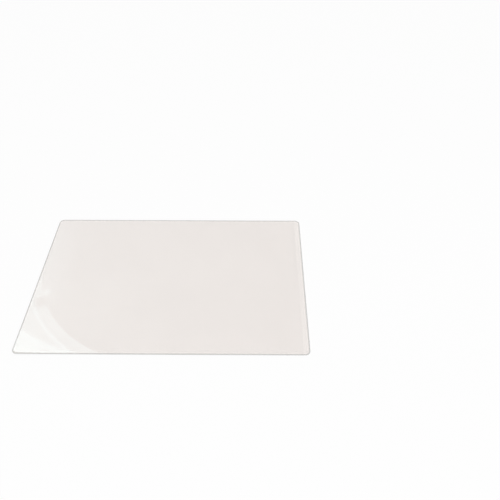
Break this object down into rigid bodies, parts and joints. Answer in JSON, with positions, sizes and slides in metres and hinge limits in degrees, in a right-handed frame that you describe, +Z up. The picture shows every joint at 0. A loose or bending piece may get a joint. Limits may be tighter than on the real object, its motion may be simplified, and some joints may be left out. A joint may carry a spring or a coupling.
{
  "type": "laminating pouch",
  "caption": "Clear flat laminating pouch of two plastic films with round corners, welded along one short edge and open along the rest.",
  "frame": {"origin": "under the middle of the pouch, on the surface it lies on", "axes": "+X along the pouch towards its welded short edge, +Y across it, +Z up out of the films"},
  "size_m": [0.3682, 0.2286, 0.0018],
  "materials": {
    "clear_film": "clear glossy polyester film with a faintly milky adhesive side"
  },
  "bodies": {
    "root": {"lower_film": "clear_film", "upper_film": "clear_film"}
  },
  "joints": []
}
